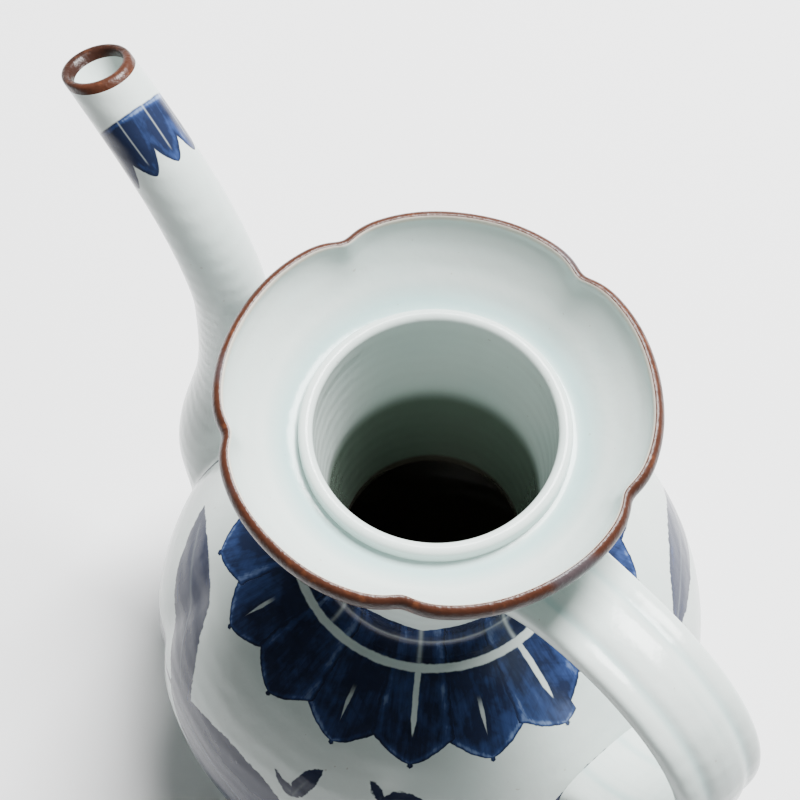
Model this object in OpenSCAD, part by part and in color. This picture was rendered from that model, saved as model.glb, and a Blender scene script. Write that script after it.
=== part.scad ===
// Porcelain sake ewer: a round belly with a tall neck, a five-lobed cup mouth, a curved pouring
// spout and a reeded strap handle. Each piece is one that the potter forms and lutes to the next.
// Frame: +Z up, origin on the vessel's axis in the plane the foot stands on, spout towards +X.

/* [Body] */
// Widest radius of the belly
belly_r = 54; // [48:0.5:60]
// Height of the widest line above the table
belly_z = 47; // [42:0.5:52]
// Height of the shoulder dome above the widest line, carried to the axis
shoulder_h = 43; // [38:0.5:48]
// Depth of the lower bowl below the widest line, carried to the axis
bowl_h = 50; // [47:0.5:56]
// Wall of the belly
body_wall = 3.6; // [2.5:0.1:4.5]
// Thickness of the floor
floor_t = 4; // [3:0.5:6]

/* [Foot] */
// Height of the turned foot ring
foot_h = 5; // [3:0.5:7]
// Width of the foot ring where it stands
foot_w = 4; // [3:0.5:5]

/* [Neck and mouth] */
// Height where the neck is luted to the shoulder
neck_z = 86.5; // [84:0.5:88]
// Bore of the neck at its foot
neck_bore_r = 16.2; // [14:0.2:17]
// Outer radius of the neck at its waist
waist_r = 20.4; // [19.5:0.1:21.5]
// Height where the cup sits on the neck
cup_z = 126; // [120:0.5:130]
// Radius of the throat, where a stopper sits
throat_r = 20; // [18:0.5:20.5]
// Height of the crest of the throat ring above the cup's seat
throat_h = 6; // [5:0.5:7]
// Outer radius of the mouth at the middle of a lobe
mouth_r = 36; // [33:0.5:39]
// Height of the mouth's crest above the cup's seat
cup_h = 14.8; // [12:0.2:18]
// Number of lobes round the mouth
lobes = 5; // [4:1:8]
// How far a notch cuts in, as a share of the radius
notch_depth = 0.045; // [0:0.005:0.08]
// Direction of the first lobe, in degrees from the spout
lobe_turn = 20; // [0:1:72]

/* [Spout] */
// Outer radius of the spout at its tip
tip_r = 6.3; // [5:0.1:8]
// Bore radius of the spout at its tip
tip_bore_r = 4.8; // [3:0.1:4.9]
// Outer radius of the swelling where the spout meets the body
root_r = 19; // [16:0.5:20]
// Radius of the pouring hole through the belly's wall
hole_r = 7; // [5:0.5:8]
// Height of the middle of the pouring hole
hole_z = 57; // [56:0.5:60]
// Radius of the hollow inside that flare
root_bore_r = 15; // [10:0.5:16]
// Lean of the cut tip away from level, in degrees
tip_lean = 28; // [10:1:45]

/* [Handle] */
// Width of the strap
strap_w = 17.4; // [14:0.2:20]
// Thickness of the strap
strap_t = 6.2; // [5:0.2:8]
// Depth of the grooves between the reeds
reed_depth = 0.5; // [0:0.1:0.8]

/* [Hidden] */
glaze_white = [0.87, 0.91, 0.90];
iron_brown = [0.33, 0.17, 0.12];
bare_clay = [0.90, 0.87, 0.81];
// Depth to which a luted piece bites into the wall that carries it
bite = 0.1;
arc_steps = 20;
around = 100;
spout_sides = 24;
spout_steps = 13;
handle_steps = 15;
handle_sides = 28;
// Length of the spout over which the level cut is worked in, and the length of its lip
cut_run = 16;
tip_lip = 1.5;
// The paths of the spout and the handle, as two curves each of four control points [out, up]
spout_low = [[36, 45], [60, 55], [52, 80], [56, 104]];
spout_high = [[56, 104], [60, 120], [71, 129.4], [88.9, 139.2]];
handle_high = [[20, 115.5], [36, 126], [60, 129], [67.5, 112]];
handle_low = [[67.5, 112], [74, 97], [64, 72], [48, 64]];

// Belly outline: radius at a height, for a shell drawn in by t
function dome_r(z, t) =
    let(h = (z > belly_z ? shoulder_h : bowl_h) - t, s = (z - belly_z) / h)
    (belly_r - t) * sqrt(max(0, 1 - s * s));
// Outline points of the belly from one height to another
function dome_arc(z0, z1, t) =
    let(h = (max(z0, z1) > belly_z ? shoulder_h : bowl_h) - t,
        a0 = asin((z0 - belly_z) / h), a1 = asin((z1 - belly_z) / h))
    [for (i = [0:arc_steps])
        let(a = a0 + (a1 - a0) * i / arc_steps) [(belly_r - t) * cos(a), belly_z + h * sin(a)]];
// A point moved straight towards the middle of the belly until it lies on the skin
function on_belly(p, sink) =
    let(q = [p[0] / belly_r, p[1] / belly_r,
             (p[2] - belly_z) / (p[2] > belly_z ? shoulder_h : bowl_h)],
        k = (1 - sink / belly_r) / norm(q))
    [p[0] * k, p[1] * k, belly_z + (p[2] - belly_z) * k];
// Outer radius of the neck at a height: a waist that opens to the shoulder and to the cup
function neck_outer_r(z) =
    let(s = (z - neck_z) / (cup_z - neck_z))
    waist_r + 3.6 * pow(s, 2.5) + (dome_r(neck_z, 0) - waist_r) * pow(1 - s, 6);

// Position, direction and length along a curve of four control points
function along(c, t) =
    pow(1 - t, 3) * c[0] + 3 * t * pow(1 - t, 2) * c[1] + 3 * t * t * (1 - t) * c[2] + pow(t, 3) * c[3];
function heading(c, t) =
    let(d = pow(1 - t, 2) * (c[1] - c[0]) + 2 * t * (1 - t) * (c[2] - c[1]) + t * t * (c[3] - c[2]))
    d / norm(d);
// A point beside a path: v across it in the plane of the spout and handle, u along Y
function beside(p, d, u, v) = [p[0] - d[1] * v, u, p[1] + d[0] * v];

// Closed surface through a stack of closed loops that ends where it starts
module ring_skin(loops) {
    n = len(loops);
    m = len(loops[0]);
    polyhedron(
        points = [for (l = loops) for (p = l) p],
        faces = [for (i = [0:n - 1]) for (j = [0:m - 1])
            let(a = i * m + j, b = i * m + (j + 1) % m,
                c = ((i + 1) % n) * m + (j + 1) % m, d = ((i + 1) % n) * m + j)
            each [[a, b, c], [a, c, d]]]);
}

// Closed surface through a stack of closed loops, with an apex to close each end
module capped_skin(loops, first, last) {
    n = len(loops);
    m = len(loops[0]);
    polyhedron(
        points = concat([for (l = loops) for (p = l) p], [first, last]),
        faces = concat(
            [for (i = [0:n - 2]) for (j = [0:m - 1])
                let(a = i * m + j, b = i * m + (j + 1) % m, c = (i + 1) * m + (j + 1) % m,
                    d = (i + 1) * m + j)
                each [[a, b, c], [a, c, d]]],
            [for (j = [0:m - 1]) [n * m, (j + 1) % m, j]],
            [for (j = [0:m - 1]) [n * m + 1, (n - 1) * m + j, (n - 1) * m + (j + 1) % m]]));
}

// How far in a notch pulls at a bearing: 0 on a lobe, 1 in a notch
function notch(a) = pow(1 - abs(cos(lobes / 2 * (a - lobe_turn))), 1.8);
// One outline of the mouth carried round the lobes. Its points are [radius, height, share of notch]
module lobed_ring(outline) {
    ring_skin([for (i = [0:around - 1])
        let(a = -360 * i / around)
        [for (p = outline)
            let(r = p[0] * (1 - notch_depth * p[2] * notch(a))) [r * cos(a), r * sin(a), p[1]]]]);
}

module foot_ring() {
    top_r = dome_r(foot_h, 0);
    color(bare_clay)
        rotate_extrude($fn = 96)
            polygon([[top_r - foot_w - 1, foot_h], [top_r - foot_w - 0.6, 0.5], [top_r - foot_w, 0],
                     [top_r - 1.2, 0], [top_r - 0.6, 0.5], [top_r, foot_h]]);
}

module body_lower() {
    floor_z = foot_h + floor_t;
    color(glaze_white)
        rotate_extrude($fn = 96)
            polygon(concat([[0, foot_h]], dome_arc(foot_h, belly_z, 0),
                           dome_arc(belly_z, floor_z, body_wall), [[0, floor_z]]));
}

module body_upper() {
    inner_top = belly_z + (shoulder_h - body_wall) * sqrt(1 - pow(neck_bore_r / (belly_r - body_wall), 2));
    color(glaze_white)
        difference() {
            rotate_extrude($fn = 96)
                polygon(concat(dome_arc(belly_z, neck_z, 0), [[neck_bore_r, neck_z]],
                               dome_arc(inner_top, belly_z, body_wall)));
            // Pouring hole, square to the wall under the spout
            translate([dome_r(hole_z, 0), 0, hole_z])
                rotate([0, 75, 0])
                    cylinder(r = hole_r, h = 6 * body_wall, center = true, $fn = 48);
        }
}

module neck() {
    color(glaze_white)
        rotate_extrude($fn = 96)
            polygon(concat([for (i = [0:arc_steps])
                               let(z = neck_z + (cup_z - neck_z) * i / arc_steps) [neck_outer_r(z), z]],
                           [[throat_r, cup_z], [neck_bore_r, neck_z]]));
}

module throat_ring() {
    crest_z = cup_z + throat_h;
    ring_w = 2.4;
    round_r = 1;
    color(glaze_white)
        rotate_extrude($fn = 96)
            polygon(concat([[throat_r, cup_z], [throat_r + ring_w, cup_z]],
                [for (a = [0:15:180])
                    let(side = a < 90 ? ring_w - round_r : round_r)
                    [throat_r + side + round_r * cos(a), crest_z - round_r + round_r * sin(a)]]));
}

module mouth_cup() {
    in_r = throat_r + 2.4;
    color(glaze_white)
        lobed_ring([[in_r, cup_z, 0], [in_r, cup_z + 4.2, 0], [in_r + 1.9, cup_z + 3.7, 0.1],
                    [in_r + 4, cup_z + 4.4, 0.25], [in_r + 6.6, cup_z + 6.5, 0.5],
                    [in_r + 9.4, cup_z + 9.4, 0.8], [mouth_r - 1.8, cup_z + 12.6, 1],
                    [mouth_r - 0.8, cup_z + 12, 1], [mouth_r - 2.4, cup_z + 9, 0.9],
                    [mouth_r - 5.2, cup_z + 5.4, 0.65], [mouth_r - 8.4, cup_z + 2.3, 0.35],
                    [mouth_r - 11, cup_z + 0.5, 0.12], [mouth_r - 12, cup_z, 0]]);
}

module mouth_lip() {
    color(iron_brown)
        lobed_ring([[mouth_r - 1.8, cup_z + 12.6, 1], [mouth_r - 1.75, cup_z + cup_h - 0.6, 1],
                    [mouth_r - 1.3, cup_z + cup_h, 1], [mouth_r - 0.7, cup_z + cup_h - 0.2, 1],
                    [mouth_r - 0.15, cup_z + cup_h - 1, 1], [mouth_r, cup_z + cup_h - 1.8, 1],
                    [mouth_r - 0.2, cup_z + cup_h - 2.5, 1], [mouth_r - 0.8, cup_z + 12, 1]]);
}

// Outer and inner radius of the spout, from root (0) to tip (1) along each curve
function spout_outer_low(t) = 7 + (root_r - 7) / (1 + pow(t / 0.4, 7));
function spout_outer_high(t) = 7 + (tip_r - 7) * t;
function spout_bore_low(t) = 5 + (root_bore_r - 5) / (1 + pow(t / 0.4, 7));
function spout_bore_high(t) = 5 + (tip_bore_r - 5) * t;
// One loop round the spout. It leans into the tip's cut by the share "cut" and is pushed on by "on"
function spout_loop(c, t, r, cut, on) =
    let(p = along(c, t), d = heading(c, t), k = [sin(tip_lean), cos(tip_lean)],
        slope = (k[1] * d[0] - k[0] * d[1]) / (k * d))
    [for (j = [0:spout_sides - 1])
        let(a = 360 * j / spout_sides, v = r * cos(a), s = on - cut * slope * v,
            q = beside(p, d, r * sin(a), v))
        q + [d[0] * s, 0, d[1] * s]];
// Share of the tip's cut that a loop takes
function cut_at(t) = let(far = norm(spout_high[3] - along(spout_high, t))) pow(max(0, 1 - far / cut_run), 1.5);

module spout() {
    steps = spout_steps;
    low_out = [for (i = [1:steps - 1]) spout_loop(spout_low, i / steps, spout_outer_low(i / steps), 0, 0)];
    high_out = [for (i = [0:steps - 1])
        spout_loop(spout_high, i / steps, spout_outer_high(i / steps), cut_at(i / steps), 0)];
    high_in = [for (i = [steps - 1:-1:0])
        spout_loop(spout_high, i / steps, spout_bore_high(i / steps), cut_at(i / steps), 0)];
    low_in = [for (i = [steps - 1:-1:1]) spout_loop(spout_low, i / steps, spout_bore_low(i / steps), 0, 0)];
    color(glaze_white)
        difference() {
            ring_skin(concat([spout_loop(spout_low, 0, root_r, 0, 0)], low_out, high_out,
                             [spout_loop(spout_high, 1, tip_r, 1, -tip_lip),
                              spout_loop(spout_high, 1, tip_bore_r, 1, -tip_lip)],
                             high_in, low_in, [spout_loop(spout_low, 0, root_bore_r, 0, 0)]));
            // The root is scribed to the belly
            rotate_extrude($fn = 96)
                polygon(concat([[0, foot_h]], dome_arc(foot_h, belly_z, bite),
                               dome_arc(belly_z, neck_z, bite), [[0, neck_z]]));
        }
}

module spout_lip() {
    wall = tip_r - tip_bore_r;
    color(iron_brown)
        ring_skin([for (p = [[tip_r, -tip_lip], [tip_r, -0.5], [tip_r - 0.15 * wall, -0.15],
                             [tip_r - 0.5 * wall, 0], [tip_bore_r + 0.15 * wall, -0.15],
                             [tip_bore_r, -0.5], [tip_bore_r, -tip_lip]])
            spout_loop(spout_high, 1, p[0], 1, p[1])]);
}

// One loop round the strap: an oval with three reeds along its outer face
function strap_loop(c, t, w, h) =
    let(p = along(c, t), d = heading(c, t))
    [for (j = [0:handle_sides - 1])
        let(a = 360 * j / handle_sides, u = w / 2 * sign(cos(a)) * pow(abs(cos(a)), 0.7),
            groove = sin(a) > 0 ? reed_depth * (1 - cos(1080 * u / w)) / 2 * sin(a) : 0,
            v = h / 2 * sign(sin(a)) * pow(abs(sin(a)), 0.7) - groove,
            q = beside(p, d, u, v))
        [-q[0], q[1], q[2]]];
// The strap widens towards both of its seats
function strap_flare(s) = 1 + 0.35 * pow(s, 6);
// A point drawn level onto the neck
function on_neck(p, sink) = let(r = neck_outer_r(p[2]) - sink) [-sqrt(max(1, r * r - p[1] * p[1])), p[1], p[2]];

module handle() {
    n = handle_steps;
    top = [for (p = strap_loop(handle_high, 0.03, strap_w * 1.35, strap_t * 1.4)) on_neck(p, bite)];
    high = [for (i = [1:n])
        let(t = i / n, k = strap_flare(1 - t)) strap_loop(handle_high, t, strap_w * k, strap_t * k)];
    low = [for (i = [1:n - 1])
        let(t = i / n, k = strap_flare(t)) strap_loop(handle_low, t, strap_w * k, strap_t * k)];
    foot = [for (p = strap_loop(handle_low, 1, strap_w * 1.35, strap_t * 1.4)) on_belly(p, bite)];
    start = handle_high[0];
    end = handle_low[3];
    color(glaze_white)
        capped_skin(concat([top], high, low, [foot]),
                    on_neck([-start[0], 0, start[1]], bite), on_belly([-end[0], 0, end[1]], bite));
}

foot_ring();
body_lower();
body_upper();
neck();
throat_ring();
mouth_cup();
mouth_lip();
spout();
spout_lip();
handle();
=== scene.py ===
import math

import bpy
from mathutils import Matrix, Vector
from mathutils.geometry import interpolate_bezier


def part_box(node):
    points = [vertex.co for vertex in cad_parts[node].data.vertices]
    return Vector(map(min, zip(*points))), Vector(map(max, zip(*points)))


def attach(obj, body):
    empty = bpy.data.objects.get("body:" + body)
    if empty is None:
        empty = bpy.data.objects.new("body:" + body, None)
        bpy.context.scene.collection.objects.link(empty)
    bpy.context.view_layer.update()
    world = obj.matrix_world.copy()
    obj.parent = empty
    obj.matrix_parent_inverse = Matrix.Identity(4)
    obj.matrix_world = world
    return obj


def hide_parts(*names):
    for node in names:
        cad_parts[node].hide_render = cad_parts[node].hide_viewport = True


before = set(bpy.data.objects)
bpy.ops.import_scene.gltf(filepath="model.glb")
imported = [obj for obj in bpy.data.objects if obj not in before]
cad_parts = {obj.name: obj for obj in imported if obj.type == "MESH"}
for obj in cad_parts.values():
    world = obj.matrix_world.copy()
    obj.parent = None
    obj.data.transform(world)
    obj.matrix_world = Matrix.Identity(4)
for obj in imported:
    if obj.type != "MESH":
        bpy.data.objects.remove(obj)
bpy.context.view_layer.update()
bpy.ops.object.select_all(action="DESELECT")

# Foot ring
# The ring the ewer stands on. It is turned from the leather-hard base and wiped clean of glaze,
# so it fires smooth, matt and a little warm, with fine turning lines and specks of grit.

mm = 0.001
_, foot_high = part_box("foot_ring")
foot_outer = foot_high.x
foot_top = foot_high.z
foot_width = 5 * mm
wheel_steps = 180
weld = mm / 50
crease = math.radians(50)
glaze_sheen = 0.27


def throw(name, outline, steps=wheel_steps):
    """Draws an outline from point to point and turns it once round the axis, as on the wheel."""
    bpy.ops.object.select_all(action="DESELECT")
    bpy.ops.mesh.primitive_plane_add(size=mm, location=(outline[0][0], 0, outline[0][1]))
    piece = bpy.context.object
    piece.name = name
    bpy.ops.object.mode_set(mode="EDIT")
    bpy.ops.mesh.merge(type="CENTER")
    for (r0, z0), (r1, z1) in zip(outline, outline[1:]):
        bpy.ops.mesh.extrude_region_move(TRANSFORM_OT_translate={"value": (r1 - r0, 0, z1 - z0)})
    bpy.ops.mesh.select_all(action="SELECT")
    bpy.ops.mesh.spin(steps=steps, angle=math.tau, center=(0, 0, 0), axis=(0, 0, 1))
    bpy.ops.mesh.select_all(action="SELECT")
    bpy.ops.mesh.remove_doubles(threshold=weld)
    bpy.ops.mesh.normals_make_consistent(inside=False)
    bpy.ops.object.mode_set(mode="OBJECT")
    bpy.ops.object.transform_apply(location=True, rotation=True, scale=True)
    return piece


def hold(piece):
    """Makes a piece the only one that the next operators act on."""
    if bpy.context.mode != "OBJECT":
        bpy.ops.object.mode_set(mode="OBJECT")
    bpy.ops.object.select_all(action="DESELECT")
    piece.select_set(True)
    bpy.context.view_layer.objects.active = piece


def finish_piece(piece, material, slot, *nodes):
    """Smooths a piece, gives it its finish and sets it in the frame in place of its CAD nodes."""
    hold(piece)
    bpy.ops.object.shade_smooth_by_angle(angle=crease)
    piece.data.materials.clear()
    piece.data.materials.append(material)
    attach(piece, "root")
    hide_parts(*nodes)


class Amount:
    """A number that runs over a surface. Sums and products of it add their Math nodes."""

    def __init__(self, finish, socket):
        self.finish = finish
        self.socket = socket

    def __add__(self, other):
        return self.finish.maths("ADD", self, other)

    def __sub__(self, other):
        return self.finish.maths("SUBTRACT", self, other)

    def __mul__(self, other):
        return self.finish.maths("MULTIPLY", self, other)

    def __truediv__(self, other):
        return self.finish.maths("DIVIDE", self, other)

    def __pow__(self, other):
        return self.finish.maths("POWER", self, other)

    def __rsub__(self, other):
        return self.finish.maths("SUBTRACT", other, self)

    __radd__ = __add__
    __rmul__ = __mul__


class Finish:
    """A glaze, a pigment or a bare clay, built up node by node. Lengths in it are millimetres."""

    def __init__(self, name, roughness):
        self.material = bpy.data.materials.new(name)
        self.material.use_nodes = True
        self.tree = self.material.node_tree
        self.shader = self.tree.nodes["Principled BSDF"]
        self.shader.inputs["Roughness"].default_value = roughness
        self.shader.inputs["Specular IOR Level"].default_value = glaze_sheen
        place = self.node("ShaderNodeTexCoord", output="Object")
        self.place = self.node("ShaderNodeVectorMath", {"operation": "SCALE"},
                               {0: place, "Scale": 1 / mm})
        self.x, self.y, self.z = (self.node("ShaderNodeSeparateXYZ", {}, {0: self.place}, axis)
                                  for axis in "XYZ")
        self.reach = self.maths("SQRT", self.x * self.x + self.y * self.y)

    def node(self, kind, settings=None, values=None, output=0):
        """Adds a node: its settings first, then the numbers or links of its sockets."""
        node = self.tree.nodes.new(kind)
        for key, value in (settings or {}).items():
            if key == "stops":
                stops = node.color_ramp.elements
                while len(stops) < len(value):
                    stops.new(1)
                for stop, (position, colour) in zip(stops, value):
                    stop.position = position
                    stop.color = (*colour, 1)
            else:
                setattr(node, key, value)
        for key, value in (values or {}).items():
            if isinstance(value, Amount):
                self.tree.links.new(value.socket, node.inputs[key])
            else:
                node.inputs[key].default_value = value
        return Amount(self, node.outputs[output])

    def maths(self, operation, *values):
        return self.node("ShaderNodeMath", {"operation": operation}, dict(enumerate(values)))

    def rise(self, value, low, high):
        """0 below low, 1 above high and a smooth slope between, or the other way round."""
        return self.node("ShaderNodeMapRange", {"interpolation_type": "SMOOTHSTEP"},
                         {"Value": value, "From Min": low, "From Max": high})

    def hump(self, value, middle, width):
        """1 at the middle, falling softly to 0 at a distance of twice the width."""
        away = (value - middle) / width
        return self.maths("EXPONENT", away * away * -1)

    def mottle(self, scale, detail=2, place=None, rough=0.5):
        """Cloudy noise from 0 to 1, with a number of clouds to the millimetre."""
        return self.node("ShaderNodeTexNoise", {},
                         {"Vector": place or self.place, "Scale": scale, "Detail": detail,
                          "Roughness": rough})

    def blend(self, share, first, second):
        """One colour laid over another."""
        colours = [c if isinstance(c, Amount) else (*c, 1) for c in (first, second)]
        return self.node("ShaderNodeMix", {"data_type": "RGBA"},
                         {0: share, 6: colours[0], 7: colours[1]}, 2)

    def feed(self, socket, value):
        self.tree.links.new(value.socket, self.shader.inputs[socket])

    def relief(self, height, depth):
        """Raises the surface by a height from 0 to 1 of a given depth."""
        bump = self.node("ShaderNodeBump", {}, {"Height": height, "Distance": depth * mm}, "Normal")
        self.feed("Normal", bump)


bare_clay = (0.62, 0.55, 0.47)
warm_clay = (0.50, 0.38, 0.28)
grit = (0.16, 0.11, 0.08)
lines_up, lines_out = 9, 7
turned_depth = 0.08
stain_scale, grit_scale = 0.25, 2.2

clay = Finish("bare clay", roughness=0.78)
turned = clay.maths("SINE", clay.z * lines_up + clay.reach * lines_out)
body_colour = clay.blend(clay.rise(clay.mottle(stain_scale, 4), 0.35, 0.75), bare_clay, warm_clay)
specks = clay.rise(clay.mottle(grit_scale, 2), 0.68, 0.74)
clay.feed("Base Color", clay.blend(specks, body_colour, grit))
clay.relief(turned * 0.5 + clay.mottle(3, 3), turned_depth)

foot_ring = throw("foot_ring", [
    (foot_outer - foot_width, foot_top),
    (foot_outer - foot_width + 0.5 * mm, 0.6 * mm),
    (foot_outer - foot_width + 1.1 * mm, 0.1 * mm),
    (foot_outer - foot_width + 1.7 * mm, 0),
    (foot_outer - 1.5 * mm, 0),
    (foot_outer - 0.9 * mm, 0.15 * mm),
    (foot_outer - 0.5 * mm, 0.7 * mm),
    (foot_outer, foot_top),
    (foot_outer - foot_width, foot_top),
])
finish_piece(foot_ring, clay.material, "unglazed_porcelain", "foot_ring")

# Belly
# Two thrown halves of white porcelain, luted together at the widest line, with five shallow
# grooves pressed down the wall below the notches of the mouth and a hole cut under the spout.
# A collar of leaves and the sprays below it are painted in cobalt under a pale green-white glaze.

_, lower_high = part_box("body_lower")
_, upper_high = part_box("body_upper")
belly_r = lower_high.x
belly_z = lower_high.z
neck_z = upper_high.z
shoulder_h = 43 * mm
bowl_h = 50 * mm
wall = 3.6 * mm
floor_z = foot_top + 4 * mm
neck_bore = 16.2 * mm
lobes = 5
first_notch = 57
notches = [math.radians(first_notch + 360 * k / lobes) for k in range(lobes)]
groove_depth = 1.2 * mm
groove_reach = 10 * mm
groove_foot = 24 * mm
groove_head = 72 * mm
finger = 0.03
seam = 0.001
hole_r = 7 * mm
hole_z = 57 * mm
hole_lean = math.radians(75)
hole_sides = 48
bowl_steps, shoulder_steps, inside_steps = 30, 40, 26


def dome(z0, z1, inset, count):
    """Points on the belly's outline between two heights, set in by the thickness of the wall."""
    height = (shoulder_h if max(z0, z1) > belly_z else bowl_h) - inset
    a0, a1 = (math.asin(max(-1, min(1, (z - belly_z) / height))) for z in (z0, z1))
    turns = [a0 + (a1 - a0) * i / count for i in range(count + 1)]
    return [((belly_r - inset) * math.cos(a), belly_z + height * math.sin(a)) for a in turns]


def pick(piece, kind, wanted):
    """Selects the corners (VERT) or faces (FACE) of a piece that pass a test, in edit mode."""
    hold(piece)
    bpy.ops.object.mode_set(mode="EDIT")
    bpy.ops.mesh.select_mode(type=kind)
    bpy.ops.mesh.select_all(action="DESELECT")
    bpy.ops.object.mode_set(mode="OBJECT")
    for part in (piece.data.vertices if kind == "VERT" else piece.data.polygons):
        part.select = wanted(part)
    bpy.ops.object.mode_set(mode="EDIT")


def on_bearing(place, turn, slack):
    return abs(math.remainder(math.atan2(place.y, place.x) - turn, math.tau)) < slack


def press(piece, turn, lowest, highest):
    """Presses the outer skin of a piece in with a finger, at one bearing."""
    def under_finger(v):
        outer = math.hypot(v.co.x, v.co.y) > max(r for r, z in dome(v.co.z, v.co.z, mm, 1))
        return lowest < v.co.z < highest and on_bearing(v.co, turn, finger) and outer
    pick(piece, "VERT", under_finger)
    bpy.ops.transform.translate(
        value=(-groove_depth * math.cos(turn), -groove_depth * math.sin(turn), 0),
        use_proportional_edit=True, proportional_edit_falloff="SHARP",
        proportional_size=groove_reach)
    bpy.ops.object.mode_set(mode="OBJECT")


def modify(piece, kind, **settings):
    """Adds a modifier to a piece and applies it."""
    hold(piece)
    modifier = piece.modifiers.new(kind.lower(), kind)
    for key, value in settings.items():
        setattr(modifier, key, value)
    bpy.ops.object.modifier_apply(modifier=modifier.name)


bore_top = belly_z + (shoulder_h - wall) * math.sqrt(1 - (neck_bore / (belly_r - wall)) ** 2)
belly_lower = throw("belly_lower", [(0, foot_top)] + dome(foot_top, belly_z, 0, bowl_steps)
                    + dome(belly_z, floor_z, wall, inside_steps) + [(0, floor_z)])
belly_upper = throw("belly_upper", dome(belly_z, neck_z, 0, shoulder_steps)
                    + [(neck_bore, neck_z)] + dome(bore_top, belly_z, wall, inside_steps)
                    + [(belly_r, belly_z)])
for turn in notches:
    press(belly_lower, turn, groove_foot, (1 + seam) * belly_z)
    press(belly_upper, turn, (1 - seam) * belly_z, groove_head)

hole_x = belly_r * math.sqrt(1 - ((hole_z - belly_z) / shoulder_h) ** 2)
bpy.ops.object.select_all(action="DESELECT")
bpy.ops.mesh.primitive_cylinder_add(vertices=hole_sides, radius=hole_r, depth=6 * wall,
                                    location=(hole_x, 0, hole_z), rotation=(0, hole_lean, 0))
cutter = bpy.context.object
modify(belly_upper, "BOOLEAN", object=cutter, operation="DIFFERENCE")
bpy.data.objects.remove(cutter)

glaze_white = (0.575, 0.64, 0.612)
glaze_deep = (0.34, 0.50, 0.49)
cobalt_wash = (0.17, 0.24, 0.40)
cobalt = (0.027, 0.048, 0.135)
cobalt_dark = (0.013, 0.019, 0.046)
iron_speck = (0.20, 0.12, 0.07)
# painted shade for the inside of the neck and belly, darker lower down
painted_bore_shade = (0.10, 0.13, 0.105)
painted_inside_shade = (0.06, 0.052, 0.042)
glaze_gloss = 0.19
glaze_depth = 0.07
pooling, pool_scale = 0.22, 0.045
specking, speck_scale = 0.3, 1.1
wheel_pitch, wheel_height = 1.9, 0.25
peel_scale, peel_height = 0.35, 1.2


def glaze_colour(finish, pooled=0):
    """The pale glaze: a little greener where it lies thick, with a rare pinprick of iron."""
    thick = finish.rise(finish.mottle(pool_scale, 2), 0.35, 0.8) * pooling + pooled
    colour = finish.blend(thick, glaze_white, glaze_deep)
    specks = finish.rise(finish.mottle(speck_scale, 0), 0.86, 0.88) * specking
    return finish.blend(specks, colour, iron_speck)


def glaze_relief(finish):
    """Throwing rings and the slight orange-peel of a fired glaze."""
    rings = finish.maths("SINE", finish.z * wheel_pitch + finish.mottle(0.06) * 5)
    peel = finish.mottle(peel_scale, 2)
    finish.relief(rings * wheel_height + peel * peel_height, glaze_depth)


hairs_across, hairs_along, hairs_round = 1.3, 0.22, 0.05
vein_slant, vein_pitch = 1.7, 2.6
streak_tone, vein_tone, cloud_tone = 0.24, 0.05, 0.46
edge_tone, pale_tone, wash_tone = 0.4, 0.32, 0.42


def brushwork(finish, depth, across, run):
    """How dark the pigment lies in a leaf: 0 is a wash, 1 is nearly black. Depth is measured in
    from the outline, across from the midrib, and run back from the tip."""
    stroke = finish.node("ShaderNodeCombineXYZ", {},
                         {0: across * hairs_across, 1: run * hairs_along,
                          2: finish.z * hairs_round})
    streaks = finish.rise(finish.mottle(1, 3, stroke, 0.65), 0.3, 0.72)
    slant = finish.maths("ABSOLUTE", across) * vein_slant + run * vein_pitch
    veins = finish.rise(finish.maths("SINE", slant), 0.8, 1)
    clouds = finish.rise(finish.mottle(0.16, 3), 0.32, 0.66)
    edge = finish.hump(depth, 0.1, 0.45)
    pale = finish.hump(depth, 1.3, 0.8)
    marks = streaks * streak_tone + veins * vein_tone + clouds * cloud_tone
    return marks + edge * edge_tone - pale * pale_tone + wash_tone


def painted_colour(finish, covered, dark, reserved):
    """Pigment over the glaze where it is covered, with lines left white in it."""
    pigment = finish.node("ShaderNodeValToRGB", {"stops": [
        (0, cobalt_wash), (0.45, cobalt), (0.9, cobalt_dark)]}, {0: dark})
    return finish.blend(covered * (1 - reserved), glaze_colour(finish), pigment)


painted = Finish("painted porcelain", glaze_gloss)
degrees = 180 / math.pi
bearing = painted.maths("ARCTAN2", painted.y, painted.x) * degrees
hand_sway = (painted.mottle(0.35, 1) - 0.5) * 1.6
hand_shake = (painted.mottle(1.1, 1) - 0.5) * 1.1
wobble = hand_sway + hand_shake
soft_edge = 0.3
hard_edge = 0.05

# The collar: eight broad leaves over eight that show between them, all pointing down the shoulder
leaf_step = 45
first_leaf = 44
drift_from, drift_size = 110, 3.4
drift = painted.maths("SINE", (bearing - drift_from) / degrees) * drift_size
phase = bearing + drift
tip_r = 40.2
tip_vary = 0.8
drip = 0.95
drop_length, drop_swell, drop_start = 0.6, 1.05, 0.4
shoulder_run = 3.1
shoulder_curve = 0.7
half_leaf = 6.6
over_share, under_share = 0.222, 0.4


def collar_leaf(turn, tip, widest):
    """Depth, distance from the midrib and distance from the tip, for one ring of the leaves."""
    near = turn - painted.maths("ROUND", turn)
    across = near * (leaf_step / degrees) * painted.reach
    vary = painted.maths("SINE", painted.maths("ROUND", turn) * 12.9)
    run = tip + vary * tip_vary - painted.reach
    spread = painted.maths("MAXIMUM", (run - drip) / shoulder_run, 0) ** shoulder_curve * half_leaf
    drop = painted.rise(run, 0, drop_length) * drop_swell - drop_start
    width = painted.maths("MINIMUM", spread + drop, painted.reach * widest)
    return width - painted.maths("ABSOLUTE", across) + wobble * 0.5, across, run


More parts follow.
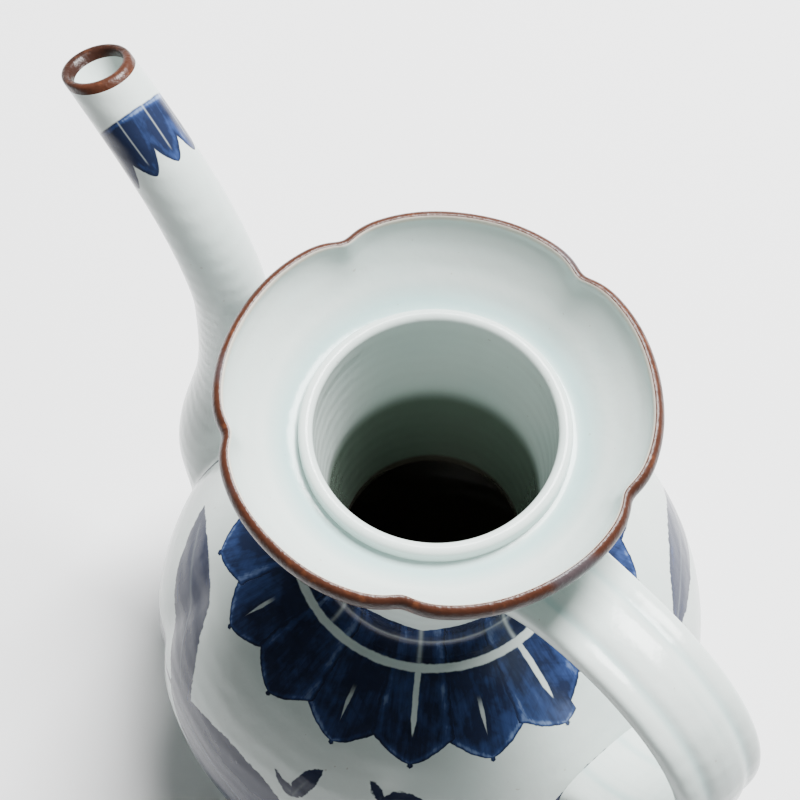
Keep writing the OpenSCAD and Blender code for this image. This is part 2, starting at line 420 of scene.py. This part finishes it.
over_turn = (phase - first_leaf) / leaf_step
under_turn = (phase - first_leaf - leaf_step / 2) / leaf_step
over_depth, over_across, over_run = collar_leaf(over_turn, tip_r, over_share)
under_depth, under_across, _ = collar_leaf(under_turn, tip_r + 0.1, under_share)
on_top = painted.rise(over_depth, -hard_edge, hard_edge)
leaf_depth = painted.maths("MAXIMUM", over_depth, under_depth)
leaf_across = over_across * on_top + under_across * (1 - on_top)
shaded_depth = over_depth * on_top + under_depth * (1 - on_top)

ring_r = 24.9
ring_outside, ring_inside = 0.88, 0.58
ring_from = 80
band_top = 92.2
scallop_height = 1.7
collar_foot = 68
inner_zone = painted.rise(painted.reach, ring_r + 0.2, ring_r - 0.2)
scallop = painted.maths("ABSOLUTE", painted.maths("SINE", phase * (180 / leaf_step / degrees)))
band_edge = painted.z + wobble * 0.5 - scallop * scallop_height
band = painted.rise(band_edge, band_top + 0.3, band_top - 0.1)
collar = painted.maths("MAXIMUM", painted.rise(leaf_depth, 0, soft_edge), inner_zone) * band
collar = collar * painted.rise(painted.z, collar_foot, collar_foot + 1)

# Lines left white in the collar: midribs, the ring, and fainter ones on the foot of the neck
rib_end, rib_taper, rib_width = 36, 0.2, 0.55
rib_edge = 0.12
rib_wobble = wobble * 0.15
bold_ribs = 155
under_rib_from, under_rib_full = 30, 32.5
under_slimmer, under_fainter = 0.7, 0.7
half_inner_rib, inner_rib_share = 0.4, 0.45
hair_z, half_hair, hair_share = 88.2, 0.28, 0.2
half_rib = painted.maths("MINIMUM", (rib_end - painted.reach) * rib_taper, rib_width)
over_rib = painted.rise(painted.maths("ABSOLUTE", over_across + rib_wobble) - half_rib,
                        rib_edge, -rib_edge)
boldness = painted.maths("COSINE", (bearing - bold_ribs) * (2 / degrees)) * 0.4 + 0.5
over_rib = over_rib * painted.rise(painted.reach, rib_end, rib_end - 1)
over_rib = over_rib * painted.rise(boldness, 0.25, 0.7)
off_rib = painted.maths("ABSOLUTE", under_across + rib_wobble)
under_rib = painted.rise(off_rib - half_rib * under_slimmer, rib_edge, -rib_edge)
under_rib = under_rib * painted.rise(painted.reach, under_rib_from, under_rib_full)
under_rib = under_rib * (1 - on_top) * under_fainter
off_ring = painted.maths("ABSOLUTE", painted.reach - ring_r + wobble * 0.2)
ring_line = painted.rise(off_ring, ring_outside, ring_inside)
ring_line = ring_line * painted.rise(painted.z, ring_from, ring_from + 1)
hair_line = painted.hump(painted.z, hair_z, half_hair) * hair_share
inner_rib = painted.hump(over_across, 0, half_inner_rib) * inner_zone * inner_rib_share
leaf_ribs = painted.maths("MAXIMUM", over_rib * (1 - inner_zone), under_rib)
neck_lines = painted.maths("MAXIMUM", ring_line, inner_rib + hair_line)
reserved = painted.maths("MAXIMUM", leaf_ribs, neck_lines)

# The sprays on the belly: bent leaves and small sprigs, painted twice round the pot
side_scale = 0.82
motif_from = 20
second_lower = 3.2
second_slimmer = 0.2
leaf_plumpness = 2.45
folded = painted.maths("FLOORED_MODULO", bearing + motif_from, 180) - motif_from
side = folded * side_scale
facing = painted.maths("COSINE", (bearing - (90 - motif_from)) * (1 / degrees))
second_time = painted.rise(facing, 0.02, -0.02)
up = painted.z + second_time * second_lower
fullness = 1 - second_time * second_slimmer
sprays = [
    # tip (round, up), base (round, up), half width, bend
    ((25.5, 70.2), (64, 54), 5.8, 6.2),
    ((55, 57), (96, 44), 11.5, 3.5),
    ((83, 67.6), (89.5, 65), 1.3, -0.6),
    ((92, 72), (88, 64.6), 2, 0.5),
    ((101, 72.6), (104.5, 68.6), 1.1, 0.3),
    ((114, 69.5), (103, 67.5), 2, 1.2),
    ((-13, 68), (18, 58), 7, 3),
    ((96, 50), (124, 58), 7, -4),
    ((30, 30), (52, 52), 8, 3),
    ((118, 28), (96, 46), 8, 3),
    ((2, 24), (16, 45), 6.5, -3),
]


def spray_leaf(tip, base, half_width, bend):
    """Depth, distance from the midrib and distance from the tip, for a leaf on the belly."""
    length = math.dist(tip, base)
    ux, uz = (base[0] - tip[0]) / length, (base[1] - tip[1]) / length
    run = (side - tip[0]) * ux + (up - tip[1]) * uz
    share = painted.node("ShaderNodeClamp", {}, {0: run / length})
    bow = share * (1 - share) * (4 * bend)
    across = (up - tip[1]) * ux - (side - tip[0]) * uz - bow * (1 if ux > 0 else -1)
    width = (share ** 0.75 * (1 - share) ** 0.55) * (half_width * leaf_plumpness) * fullness
    return width - painted.maths("ABSOLUTE", across) - 0.15 + wobble * 0.55, across, run


spray_depth, spray_across, spray_run = spray_leaf(*sprays[0])
for leaf in sprays[1:]:
    depth, across, run = spray_leaf(*leaf)
    newer = painted.rise(depth, -hard_edge, hard_edge)
    spray_across = spray_across * (1 - newer) + across * newer
    spray_run = spray_run * (1 - newer) + run * newer
    spray_depth = spray_depth * (1 - newer) + painted.maths("MAXIMUM", spray_depth, depth) * newer
stem_middle, stem_swing, stem_waves, half_stem = 53, 4, 6, 0.4
stem_height = painted.maths("SINE", folded * (stem_waves / degrees)) * stem_swing + stem_middle
off_stem = painted.maths("ABSOLUTE", painted.z - stem_height)
stem = painted.rise(off_stem - half_stem + wobble * 0.3, 0.2, -0.1)
low_line, half_low, high_line, half_high = 9, 0.35, 12, 0.55
foot_lines = painted.maths("MAXIMUM", painted.hump(painted.z, low_line, half_low),
                           painted.hump(painted.z, high_line, half_high))
spray_top = 74
below = painted.rise(painted.z, spray_top + 0.5, spray_top)
spray = painted.maths("MAXIMUM", painted.rise(spray_depth, 0, soft_edge) * below,
                      painted.maths("MAXIMUM", stem, foot_lines * 0.9))
spray_rib = painted.hump(spray_across, 0, 0.3) * painted.rise(spray_run, 3, 6) * 0.1

# The painting lies on the outer skin only. The inside gets painted shade: dark down the bore,
# darker still inside the belly.
skin_share = 0.92
inside_r = 18
bore_slope, bore_line = 0.096, 11.3
spray_tone = 0.58
is_upper = painted.rise(painted.z, belly_z / mm - 0.1, belly_z / mm + 0.1)
half_height = is_upper * ((shoulder_h - bowl_h) / mm) + bowl_h / mm
across_belly = painted.reach / (belly_r / mm)
up_belly = (painted.z - belly_z / mm) / half_height
fill = across_belly * across_belly + up_belly * up_belly
outer_skin = painted.rise(fill, skin_share, skin_share + 0.02)
outer_skin = outer_skin * painted.rise(painted.reach, inside_r, inside_r + 0.6)
on_neck = painted.rise(painted.reach - painted.z * bore_slope, bore_line, bore_line + 0.3)
on_neck = on_neck * painted.rise(painted.z, 86.5, 87)
is_outside = painted.maths("MAXIMUM", outer_skin, on_neck)
is_collar = painted.rise(painted.z, spray_top - 0.5, spray_top)
is_spray = 1 - is_collar
covered = painted.maths("MAXIMUM", collar, spray) * outer_skin
dark = brushwork(painted, shaded_depth * is_collar + spray_depth * is_spray,
                 leaf_across * is_collar + spray_across * is_spray,
                 over_run * is_collar + spray_run * is_spray) + is_spray * spray_tone
left_white = reserved * is_collar + spray_rib * is_spray
skin_colour = painted_colour(painted, covered, dark, left_white)
# painted shade: the bore darkens downward, and the belly's inside is nearly black
shaded_bore_glaze = painted.blend(painted.rise(painted.z, 225, 110), glaze_white, painted_bore_shade)
shaded_inside_colour = painted.blend(painted.rise(painted.z, 87.5, 86), shaded_bore_glaze, painted_inside_shade)
painted.feed("Base Color", painted.blend(is_outside, shaded_inside_colour, skin_colour))
glaze_relief(painted)

finish_piece(belly_lower, painted.material, "painted_porcelain", "body_lower")
finish_piece(belly_upper, painted.material, "painted_porcelain", "body_upper")

# Neck
# A tall thrown neck, luted to the shoulder with a soft fillet and opening a little to the cup.
# The blue of the collar runs up onto its foot.

_, neck_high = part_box("neck")
neck_top = neck_high.z
waist_r = 20.4 * mm
throat_r = 20 * mm
neck_flare = 3.6 * mm
fillet_share = 0.13
neck_steps = 24


def neck_outer(z):
    share = (z - neck_z) / (neck_top - neck_z)
    return waist_r + neck_flare * share ** 2.5


fillet = [(23.6, 85.55), (22.7, 86.15), (21.9, 86.8), (21.25, 87.6), (20.85, 88.6), (20.6, 89.9)]
neck_rise = [neck_z + (neck_top - neck_z) * (fillet_share + (1 - fillet_share) * i / neck_steps)
             for i in range(neck_steps + 1)]
neck = throw("neck", [(neck_bore, neck_z)] + [(r * mm, z * mm) for r, z in fillet]
             + [(neck_outer(z), z) for z in neck_rise]
             + [(throat_r, neck_top), (neck_bore, neck_z)])
finish_piece(neck, painted.material, "painted_porcelain", "neck")

# Throat ring
# A plain rounded ring of white clay at the top of the neck, thrown with it and smoothed with a
# wet finger. It stands up inside the cup, where a stopper would sit, under the same pale glaze.

_, ring_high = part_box("throat_ring")
ring_outer = ring_high.x
crest_z = ring_high.z
ring_round = (ring_outer - throat_r) / 2
crest_steps = 16
ring_steps = 120
crest = [(throat_r + ring_round * (1 - math.cos(a)), crest_z - ring_round * (1 - math.sin(a)))
         for a in [math.pi * i / crest_steps for i in range(crest_steps + 1)]]

plain_glaze = Finish("plain glaze", glaze_gloss)
plain_glaze.feed("Base Color", glaze_colour(plain_glaze))
glaze_relief(plain_glaze)
throat_ring = throw("throat_ring", [(throat_r, neck_top)] + crest
                    + [(ring_outer, neck_top), (throat_r, neck_top)], ring_steps)
finish_piece(throat_ring, plain_glaze.material, "plain_porcelain", "throat_ring")

# Mouth cup and its lip
# A flared cup thrown with a groove round the throat ring and pressed into five lobes while soft.
# Its edge is dressed with iron slip, which fires brown and breaks to rust where it is thin.

mouth_r = 36 * mm
seat = neck_top
lip_inner = (mouth_r - 1.5 * mm, seat + 15.1 * mm)
lip_outer = (mouth_r + 0.2 * mm, seat + 12.3 * mm)
mouth_outline = [
    (ring_outer - 0.8 * mm, seat + 0.4 * mm),
    (ring_outer - 0.8 * mm, seat + 3.4 * mm),
    (ring_outer + 0.4 * mm, seat + 2.9 * mm),
    (ring_outer + 1.8 * mm, seat + 3.2 * mm),
    (ring_outer + 4 * mm, seat + 4.3 * mm),
    (ring_outer + 6.6 * mm, seat + 6.5 * mm),
    (ring_outer + 9.4 * mm, seat + 9.4 * mm),
    (mouth_r - 2 * mm, seat + 12.6 * mm),
    (mouth_r - 1.7 * mm, seat + 14.3 * mm),
    lip_inner,
    (mouth_r - 0.5 * mm, seat + 15 * mm),
    (mouth_r + 0.3 * mm, seat + 13.8 * mm),
    lip_outer,
    (mouth_r - 0.9 * mm, seat + 11.6 * mm),
    (mouth_r - 2.4 * mm, seat + 9 * mm),
    (mouth_r - 5.2 * mm, seat + 5.4 * mm),
    (mouth_r - 8.4 * mm, seat + 2.3 * mm),
    (mouth_r - 11 * mm, seat + 0.5 * mm),
    (mouth_r - 12.4 * mm, seat - 0.5 * mm),
    (ring_outer - 0.8 * mm, seat + 0.4 * mm),
]
lip_line = seat + 11.2 * mm
mouth_steps = 120
thumb = 0.02
# inward, down, reach
notch_presses = [(1.1 * mm, 0.3 * mm, 16 * mm), (0.9 * mm, 0.3 * mm, 6 * mm)]


def close_ends(piece, at_end=lambda place: True):
    """Joins the two open edges at an end of a piece with a strip of faces."""
    pick(piece, "VERT", lambda v: False)
    bpy.ops.mesh.select_non_manifold()
    bpy.ops.object.mode_set(mode="OBJECT")
    rim = {v.index for v in piece.data.vertices if v.select}
    pick(piece, "VERT", lambda v: v.index in rim and at_end(v.co))
    bpy.ops.mesh.bridge_edge_loops()
    bpy.ops.mesh.select_all(action="SELECT")
    bpy.ops.mesh.normals_make_consistent(inside=False)
    bpy.ops.object.mode_set(mode="OBJECT")


def part_lip(piece, on_lip):
    """Marks the faces of the lip, rounds the whole piece, and parts the lip from it."""
    for slot in ("wall", "lip"):
        piece.data.materials.append(bpy.data.materials.new(slot))
    for face in piece.data.polygons:
        face.material_index = int(on_lip(face))
    modify(piece, "SUBSURF", levels=2, render_levels=2)
    bpy.ops.object.mode_set(mode="EDIT")
    bpy.ops.mesh.separate(type="MATERIAL")
    bpy.ops.object.mode_set(mode="OBJECT")
    lip = next(o for o in bpy.context.selected_objects if o is not piece)
    if lip.data.materials[0].name.startswith("wall"):
        piece, lip = lip, piece
    return piece, lip


def above_lip_line(face):
    ring = math.hypot(face.center.x, face.center.y)
    return ring > lip_inner[0] and face.center.z > lip_outer[1]


mouth = throw("mouth_cup", mouth_outline, mouth_steps)
on_lip = {face.index for face in mouth.data.polygons if above_lip_line(face)}
for turn in notches:
    for inward, down, reach in notch_presses:
        pick(mouth, "VERT", lambda v: v.co.z > lip_line and on_bearing(v.co, turn, thumb))
        bpy.ops.transform.translate(
            value=(-inward * math.cos(turn), -inward * math.sin(turn), -down),
            use_proportional_edit=True, proportional_edit_falloff="SHARP", proportional_size=reach)
        bpy.ops.object.mode_set(mode="OBJECT")
mouth_cup, mouth_lip = part_lip(mouth, lambda face: face.index in on_lip)
mouth_cup.name = "mouth_cup"
mouth_lip.name = "mouth_lip"
close_ends(mouth_cup)
close_ends(mouth_lip)

cup_glaze = Finish("cup glaze", glaze_gloss)
halo = (0.62, 0.42, 0.27)
halo_from = 140.2
halo_share = 0.45
pool_r, pool_width, pool_share = 24.6, 2.2, 0.9
pool_top = 131
pool = cup_glaze.hump(cup_glaze.reach, pool_r, pool_width)
pool = pool * cup_glaze.rise(cup_glaze.z, pool_top + 2, pool_top)
wheel = cup_glaze.maths("SINE", cup_glaze.reach * 2.4) * 0.04
cup_colour = glaze_colour(cup_glaze, pool * pool_share + wheel)
near_lip = cup_glaze.rise(cup_glaze.z + cup_glaze.mottle(0.5, 2) * 0.5, halo_from, halo_from + 0.6)
cup_glaze.feed("Base Color", cup_glaze.blend(near_lip * halo_share, cup_colour, halo))
glaze_relief(cup_glaze)

slip_brown = (0.052, 0.018, 0.010)
slip_dark = (0.018, 0.008, 0.006)
slip_rust = (0.15, 0.050, 0.020)
# painted sheen: a grey for clouds that stand in for reflections on the glossy slip
painted_slip_sheen = (0.06, 0.06, 0.07)

crest_share, rust_share, painted_sheen_share, edge_share = 0.75, 0.35, 0.6, 0.5
crest_from, crest_to = 140.9, 139.4
thin_from, thin_full = 139.3, 138.9
slip_depth = 0.12

iron_slip = Finish("iron slip", roughness=0.34)
crest_shade = iron_slip.rise(iron_slip.z, crest_from, crest_to) * crest_share
rust_clouds = iron_slip.rise(iron_slip.mottle(0.45, 3, rough=0.6), 0.56, 0.70) * rust_share
# painted sheen: grey clouds laid over the brown slip in place of reflections
painted_sheen_clouds = iron_slip.rise(iron_slip.mottle(0.07, 1), 0.60, 0.70) * painted_sheen_share
slip_colour = iron_slip.blend(crest_shade, slip_brown, slip_dark)
slip_colour = iron_slip.blend(rust_clouds, slip_colour, slip_rust)
slip_colour = iron_slip.blend(painted_sheen_clouds, slip_colour, painted_slip_sheen)
ragged_z = iron_slip.z + iron_slip.mottle(0.7, 2) * 0.8
thin_edge = iron_slip.rise(ragged_z, thin_from, thin_full)
mouth_only = iron_slip.rise(iron_slip.reach, 50, 45)
thin_slip = thin_edge * mouth_only * edge_share
iron_slip.feed("Base Color", iron_slip.blend(thin_slip, slip_colour, slip_rust))
iron_slip.relief(iron_slip.mottle(1.4, 3), slip_depth)

finish_piece(mouth_cup, cup_glaze.material, "plain_porcelain", "mouth_cup")
finish_piece(mouth_lip, iron_slip.material, "iron_brown_glaze", "mouth_lip")

# Spout and its lip
# A slim spout drawn up from a full round root, which is scribed to the belly and smoothed on with
# slip. Its tip is cut nearly level, edged with the same iron slip and ringed with painted leaves.

spout_sides = 32
root_edges = [
    # inner edge (out, up), outer edge (out, up), half width
    ((45.6, 72.6), (60, 37), 18.5),
    ((46, 75), (66.3, 44.5), 17),
    ((46.5, 78), (68.5, 53), 13.6),
    ((47, 81.5), (66.8, 63), 10.6),
    ((47.6, 86), (64, 73.6), 8.6),
    ((48.3, 92), (63, 86), 7.5),
    ((49, 99.6), (62.8, 98.4), 7.05),
]
root_wall = 2.6
tip_wall = 1.5
upper_path = [Vector(p) for p in ((56, 104, 0), (60, 120, 0), (71, 129.4, 0), (88.9, 139.2, 0))]
upper_count = 15
spout_r = 7
spout_tip_r = 6.3
cut_lean = math.radians(28)
cut_run = 16
cut_curve = 1.5
lip_depth = 1.5
root_rings = (20.8, 19.5)
root_bore = 15.5
sink = -0.1 * mm
slip_lift = 0.45 * mm


def across_path(place, heading, radius, cut, on):
    """The two edges of a hoop that is square to its path, or leans to the level cut of the tip."""
    up = Vector((-heading.y, heading.x))
    lean = Vector((math.sin(cut_lean), math.cos(cut_lean)))
    slope = (lean.y * heading.x - lean.x * heading.y) / lean.dot(heading)
    edges = [place + up * v + heading * (on - cut * slope * v) for v in (radius, -radius)]
    return *edges, radius


def hoop(inner, outer, half_width, sides):
    """Adds a ring of corners in edit mode, through two edges in the plane of the spout."""
    inner, outer = Vector((*inner, 0)) * mm, Vector((*outer, 0)) * mm
    middle = (inner + outer) / 2
    half = (outer - inner).length / 2
    centre = (middle.x, 0, middle.y)
    lean = math.atan2(outer.y - inner.y, outer.x - inner.x)
    bpy.ops.mesh.primitive_circle_add(vertices=sides, radius=half, location=centre)
    bpy.ops.transform.resize(value=(1, half_width * mm / half, 1), center_override=centre)
    bpy.ops.transform.rotate(value=lean, orient_axis="Y", center_override=centre)


def skin(name, hoops, sides):
    """Adds the hoops and joins each to the next."""
    bpy.ops.object.select_all(action="DESELECT")
    bpy.ops.mesh.primitive_circle_add(vertices=3, radius=mm)
    piece = bpy.context.object
    piece.name = name
    bpy.ops.object.mode_set(mode="EDIT")
    bpy.ops.mesh.delete(type="VERT")
    for place in hoops:
        hoop(*place, sides)
    for k in range(len(hoops) - 1):
        pick(piece, "VERT", lambda v: k * sides <= v.index < (k + 2) * sides)
        bpy.ops.mesh.bridge_edge_loops()
    bpy.ops.mesh.select_all(action="SELECT")
    bpy.ops.mesh.normals_make_consistent(inside=False)
    bpy.ops.object.mode_set(mode="OBJECT")
    return piece


def seat_hoop(piece, number, sides, lift, first_wall, second_wall=None):
    """Draws one hoop level along X onto the wall that it is luted to."""
    group = piece.vertex_groups.new(name=f"hoop_{number}")
    group.add(range(number * sides, (number + 1) * sides), 1, "REPLACE")
    outside = piece.data.vertices[number * sides].co.x > 0
    modify(piece, "SHRINKWRAP", target=first_wall, auxiliary_target=second_wall,
           vertex_group=group.name, wrap_method="PROJECT", use_project_x=True,
           use_negative_direction=outside, use_positive_direction=not outside, offset=lift)


def inset(edges, thickness):
    """The same hoop, drawn in by the thickness of the wall."""
    inner, outer, half_width = edges
    inner, outer = Vector(inner), Vector(outer)
    inward = (outer - inner).normalized() * thickness
    return inner + inward, outer - inward, half_width - thickness


upper = [p.to_2d() for p in interpolate_bezier(*upper_path, upper_count)]
tip_heading = (upper_path[3] - upper_path[2]).to_2d().normalized()
outer_hoops = list(root_edges)
for i, place in enumerate(upper[:-1]):
    heading = (upper[i + 1] - upper[max(i - 1, 0)]).normalized()
    share = i / (upper_count - 1)
    cut = max(0, 1 - (upper[-1] - place).length / cut_run) ** cut_curve
    radius = spout_r + (spout_tip_r - spout_r) * share
    outer_hoops.append(across_path(place, heading, radius, cut, 0))
walls = [root_wall + (tip_wall - root_wall) * min(1, i / len(root_edges))
         for i in range(len(outer_hoops))]
inner_hoops = [inset(edges, w) for edges, w in zip(outer_hoops, walls)][::-1]
bore = spout_tip_r - tip_wall
lip_hoops = [across_path(upper[-1], tip_heading, radius, 1, on) for radius, on in [
    (spout_tip_r, -lip_depth), (spout_tip_r, -0.5), (spout_tip_r - 0.2, -0.1),
    (spout_tip_r - 0.75, 0.05), (bore + 0.2, -0.1), (bore, -0.5), (bore, -lip_depth)]]
root_out, root_up = 70, 51.5
root_seat = [((root_out, root_up + r), (root_out, root_up - r), r) for r in root_rings]
inner_seat = ((root_out, root_up + root_bore), (root_out, root_up - root_bore), root_bore)
spout_hoops = root_seat + outer_hoops + lip_hoops + inner_hoops + [inner_seat]
spout = skin("spout", spout_hoops, spout_sides)
seat_hoop(spout, 0, spout_sides, sink, belly_upper, belly_lower)
seat_hoop(spout, 1, spout_sides, slip_lift, belly_upper, belly_lower)
seat_hoop(spout, len(spout_hoops) - 1, spout_sides, 0, belly_upper, belly_lower)
first_lip = (len(root_seat) + len(outer_hoops)) * spout_sides
last_lip = first_lip + len(lip_hoops) * spout_sides
spout, spout_lip = part_lip(spout, lambda face: all(
    first_lip <= v < last_lip for v in face.vertices))
spout.name = "spout"
spout_lip.name = "spout_lip"
close_ends(spout_lip)
close_ends(spout, lambda place: place.z > neck_z)
close_ends(spout, lambda place: place.z < neck_z)

spout_glaze = Finish("spout glaze", glaze_gloss)
band_at = 16
band_place = Vector((75.2, 131.6))
band_heading = Vector((0.852, 0.523))
petal_step = 51.43
petal_turn = 8
petal_tip, petal_fullness, petal_curve = 22.2, 1.55, 0.55
band_from, band_edge_width = 10.4, 0.4
band_lowest = 104
# painted shade on the side of the spout's leaf band away from the window
painted_shade_from, painted_shade_to, painted_shade_tone = -20, 60, 0.35
rim_at, half_rim, rim_lift = 11.1, 0.5, 0.63
petal_tone = 0.1
along_x = spout_glaze.x - band_place.x
along_z = spout_glaze.z - band_place.y
along = band_at - (along_x * band_heading.x + along_z * band_heading.y)
over = along_z * band_heading.x - along_x * band_heading.y
round_spout = spout_glaze.maths("ARCTAN2", spout_glaze.y, over) * degrees
band_wobble = (spout_glaze.mottle(0.5, 2) - 0.5) * 1.6
petal = (round_spout + petal_turn) / petal_step
petal_across = (petal - spout_glaze.maths("ROUND", petal)) * (petal_step / degrees * spout_r)
petal_run = petal_tip - along
petal_width = spout_glaze.maths("MAXIMUM", petal_run, 0) ** petal_curve * petal_fullness
petal_depth = petal_width - spout_glaze.maths("ABSOLUTE", petal_across) + band_wobble * 0.35
band_start = spout_glaze.rise(along + band_wobble * 0.3, band_from, band_from + band_edge_width)
band_cover = spout_glaze.rise(petal_depth, 0, soft_edge) * band_start
band_cover = band_cover * spout_glaze.rise(spout_glaze.z, band_lowest, band_lowest + 2)
rim_line = spout_glaze.hump(along, rim_at, half_rim) * rim_lift
# painted shade: the petals darken round the side of the spout away from the window
painted_side_shade = spout_glaze.rise(round_spout, painted_shade_from, painted_shade_to) * painted_shade_tone
petal_dark = brushwork(spout_glaze, petal_depth, petal_across, petal_run)
petal_dark = petal_dark + petal_tone + painted_side_shade - rim_line
petal_rib = spout_glaze.hump(petal_across, 0, 0.16) * spout_glaze.rise(petal_run, 2, 4) * 0.35
petal_colour = painted_colour(spout_glaze, band_cover, petal_dark, petal_rib)
spout_glaze.feed("Base Color", petal_colour)
glaze_relief(spout_glaze)

finish_piece(spout, spout_glaze.material, "painted_porcelain", "spout")
finish_piece(spout_lip, iron_slip.material, "iron_brown_glaze", "spout_lip")

# Handle
# A pulled strap with three reeds down its outer face, luted to the neck under the cup and to the
# belly. The glaze gathers green in the two grooves between the reeds.

upper_strap = [Vector(p) for p in ((-20, 115.5, 0), (-36, 126, 0), (-60, 129, 0), (-67.5, 112, 0))]
lower_strap = [Vector(p) for p in ((-67.5, 112, 0), (-74, 97, 0), (-64, 72, 0), (-48, 64, 0))]
above_count, below_count = 15, 17
half_strap_w = 8.7
half_strap_t = 3.1
strap_sides = 36
strap_flare = 0.35
end_t = 4.3
end_w = 11.6
neck_end = (-45, 115.5)
belly_end = (-70, 64)
end_sink = -0.2 * mm
strap_curve = interpolate_bezier(*upper_strap, above_count)[:-1]
strap_curve += interpolate_bezier(*lower_strap, below_count)
strap = [p.to_2d() for p in strap_curve]
strap_hoops = []
for i, place in enumerate(strap[1:-1], 1):
    heading = (strap[i + 1] - strap[i - 1]).normalized()
    share = i / (len(strap) - 1)
    flare = 1 + strap_flare * abs(2 * share - 1) ** 7
    out = Vector((heading.y, -heading.x)) * half_strap_t * flare
    strap_hoops.append((place + out, place - out, half_strap_w * flare))
first_hoop = ((neck_end[0], neck_end[1] - end_t), (neck_end[0], neck_end[1] + end_t), end_w)
last_hoop = ((belly_end[0], belly_end[1] + end_t), (belly_end[0], belly_end[1] - end_t), end_w)
strap_hoops = [first_hoop] + strap_hoops + [last_hoop]
handle = skin("handle", strap_hoops, strap_sides)
seat_hoop(handle, 0, strap_sides, end_sink, neck)
seat_hoop(handle, len(strap_hoops) - 1, strap_sides, end_sink, belly_upper)
reeds = [((3, 15, 21, 33), 0.55 * mm), ((2, 4, 14, 16, 20, 22, 32, 34), 0.3 * mm),
         ((6, 12), -0.5 * mm), ((9,), 0.1 * mm)]
for columns, push in reeds:
    pick(handle, "VERT", lambda v: v.index % strap_sides in columns
         and strap_sides <= v.index < (len(strap_hoops) - 1) * strap_sides)
    bpy.ops.transform.shrink_fatten(value=push)
    bpy.ops.object.mode_set(mode="OBJECT")
modify(handle, "SUBSURF", levels=2, render_levels=2)
pick(handle, "VERT", lambda v: False)
bpy.ops.mesh.select_non_manifold()
bpy.ops.mesh.fill_holes(sides=0)
bpy.ops.mesh.select_all(action="SELECT")
bpy.ops.mesh.normals_make_consistent(inside=False)
bpy.ops.object.mode_set(mode="OBJECT")

handle_glaze = Finish("handle glaze", glaze_gloss)
groove_at, groove_width = 4.4, 0.8
groove_pool, streak_pool = 0.5, 0.16
groove = handle_glaze.hump(handle_glaze.maths("ABSOLUTE", handle_glaze.y), groove_at, groove_width)
strokes = handle_glaze.node("ShaderNodeCombineXYZ", {}, {
    0: handle_glaze.y * 1.4, 1: handle_glaze.x * 0.06, 2: handle_glaze.z * 0.06})
streak = handle_glaze.rise(handle_glaze.mottle(1, 3, strokes), 0.5, 0.75)
strap_colour = glaze_colour(handle_glaze, groove * groove_pool + streak * streak_pool)
handle_glaze.feed("Base Color", strap_colour)
glaze_relief(handle_glaze)
finish_piece(handle, handle_glaze.material, "plain_porcelain", "handle")

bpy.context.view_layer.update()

# Table, light and camera
# A plain pale table, one large soft light from the spout's right, and a weak fill.

table_size = 6
table_white = (0.86, 0.86, 0.865, 1)
bpy.ops.mesh.primitive_plane_add(size=table_size)
table = bpy.context.object
table.name = "table"
table_finish = bpy.data.materials.new("pale table")
table_finish.use_nodes = True
table_shader = table_finish.node_tree.nodes["Principled BSDF"]
table_shader.inputs["Base Color"].default_value = table_white
table_shader.inputs["Roughness"].default_value = 0.9
table.data.materials.append(table_finish)

look_at = Vector((0, 0, 0.08))
window_place = (0.14, -0.5, 1.08)
bpy.ops.object.light_add(type="AREA", location=window_place)
window = bpy.context.object
window.name = "window"
window.data.size = 0.5
window.data.energy = 64
window.rotation_euler = (look_at - window.location).to_track_quat("-Z", "Y").to_euler()

world = bpy.data.worlds.new("world")
bpy.context.scene.world = world
world.use_nodes = True
sky = world.node_tree.nodes["Background"]
sky.inputs["Color"].default_value = (0.95, 0.98, 1, 1)
sky.inputs["Strength"].default_value = 0.08

camera_place = (-0.1027, 0.0986, 0.4234)
camera_heading = Vector((0.3375, -0.2986, -0.8927))
bpy.ops.object.camera_add(location=camera_place)
camera = bpy.context.object
camera.data.lens = 90
camera.data.sensor_width = 36
camera.rotation_euler = camera_heading.to_track_quat("-Z", "Y").to_euler()
bpy.context.scene.camera = camera
